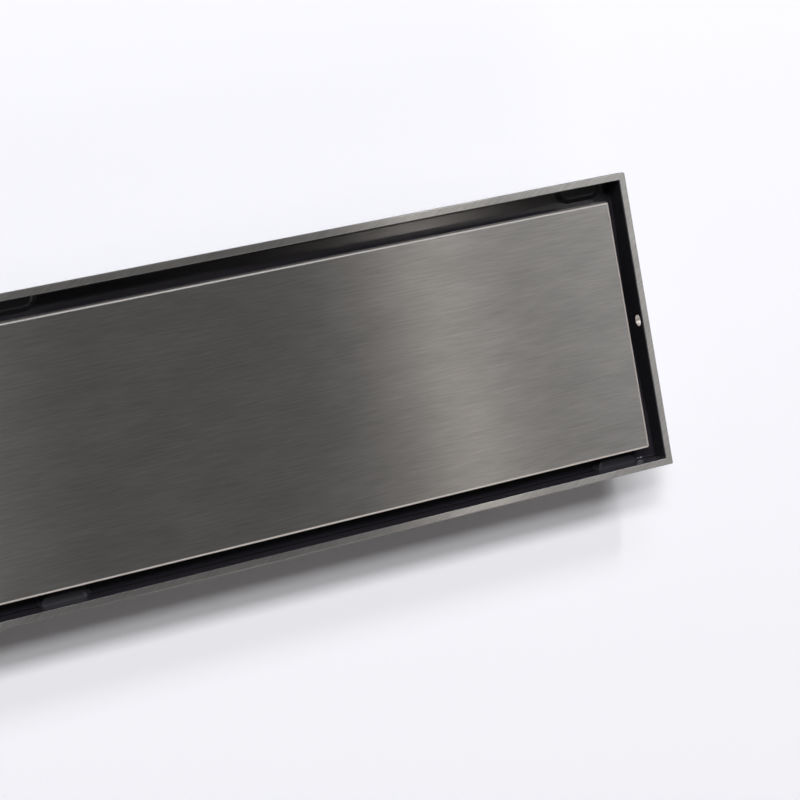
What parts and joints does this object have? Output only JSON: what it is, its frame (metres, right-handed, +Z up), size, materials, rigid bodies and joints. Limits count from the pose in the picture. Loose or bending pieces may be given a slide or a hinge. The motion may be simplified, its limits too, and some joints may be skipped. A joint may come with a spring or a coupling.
{
  "type": "tile insert floor drain",
  "caption": "Long shallow steel floor drain: hemmed channel with a folded trough, central outlet spigot, lift-out strainer and a loose reversible cover tray that leaves a slot all round.",
  "frame": {"origin": "middle of the outlet spigot's lower end, on the surface that the drain stands on", "axes": "+X along the drain, +Y across it, +Z up towards the cover"},
  "size_m": [0.6, 0.1, 0.03],
  "materials": {
    "gunmetal": "stainless steel, brushed along its length, dark warm grey coating",
    "plain_steel": "bare satin stainless steel"
  },
  "bodies": {
    "root": {"channel": "gunmetal", "end_cap_right": "gunmetal", "end_cap_left": "gunmetal", "outlet_sump": "plain_steel", "outlet_spigot": "plain_steel", "cover_tray": "gunmetal", "hair_strainer": "plain_steel", "strainer_handle": "plain_steel", "locating_lug_1": "plain_steel", "locating_lug_2": "plain_steel", "locating_lug_3": "plain_steel", "locating_lug_4": "plain_steel", "locating_lug_5": "plain_steel", "locating_lug_6": "plain_steel", "locating_lug_7": "plain_steel", "locating_lug_8": "plain_steel"}
  },
  "joints": []
}
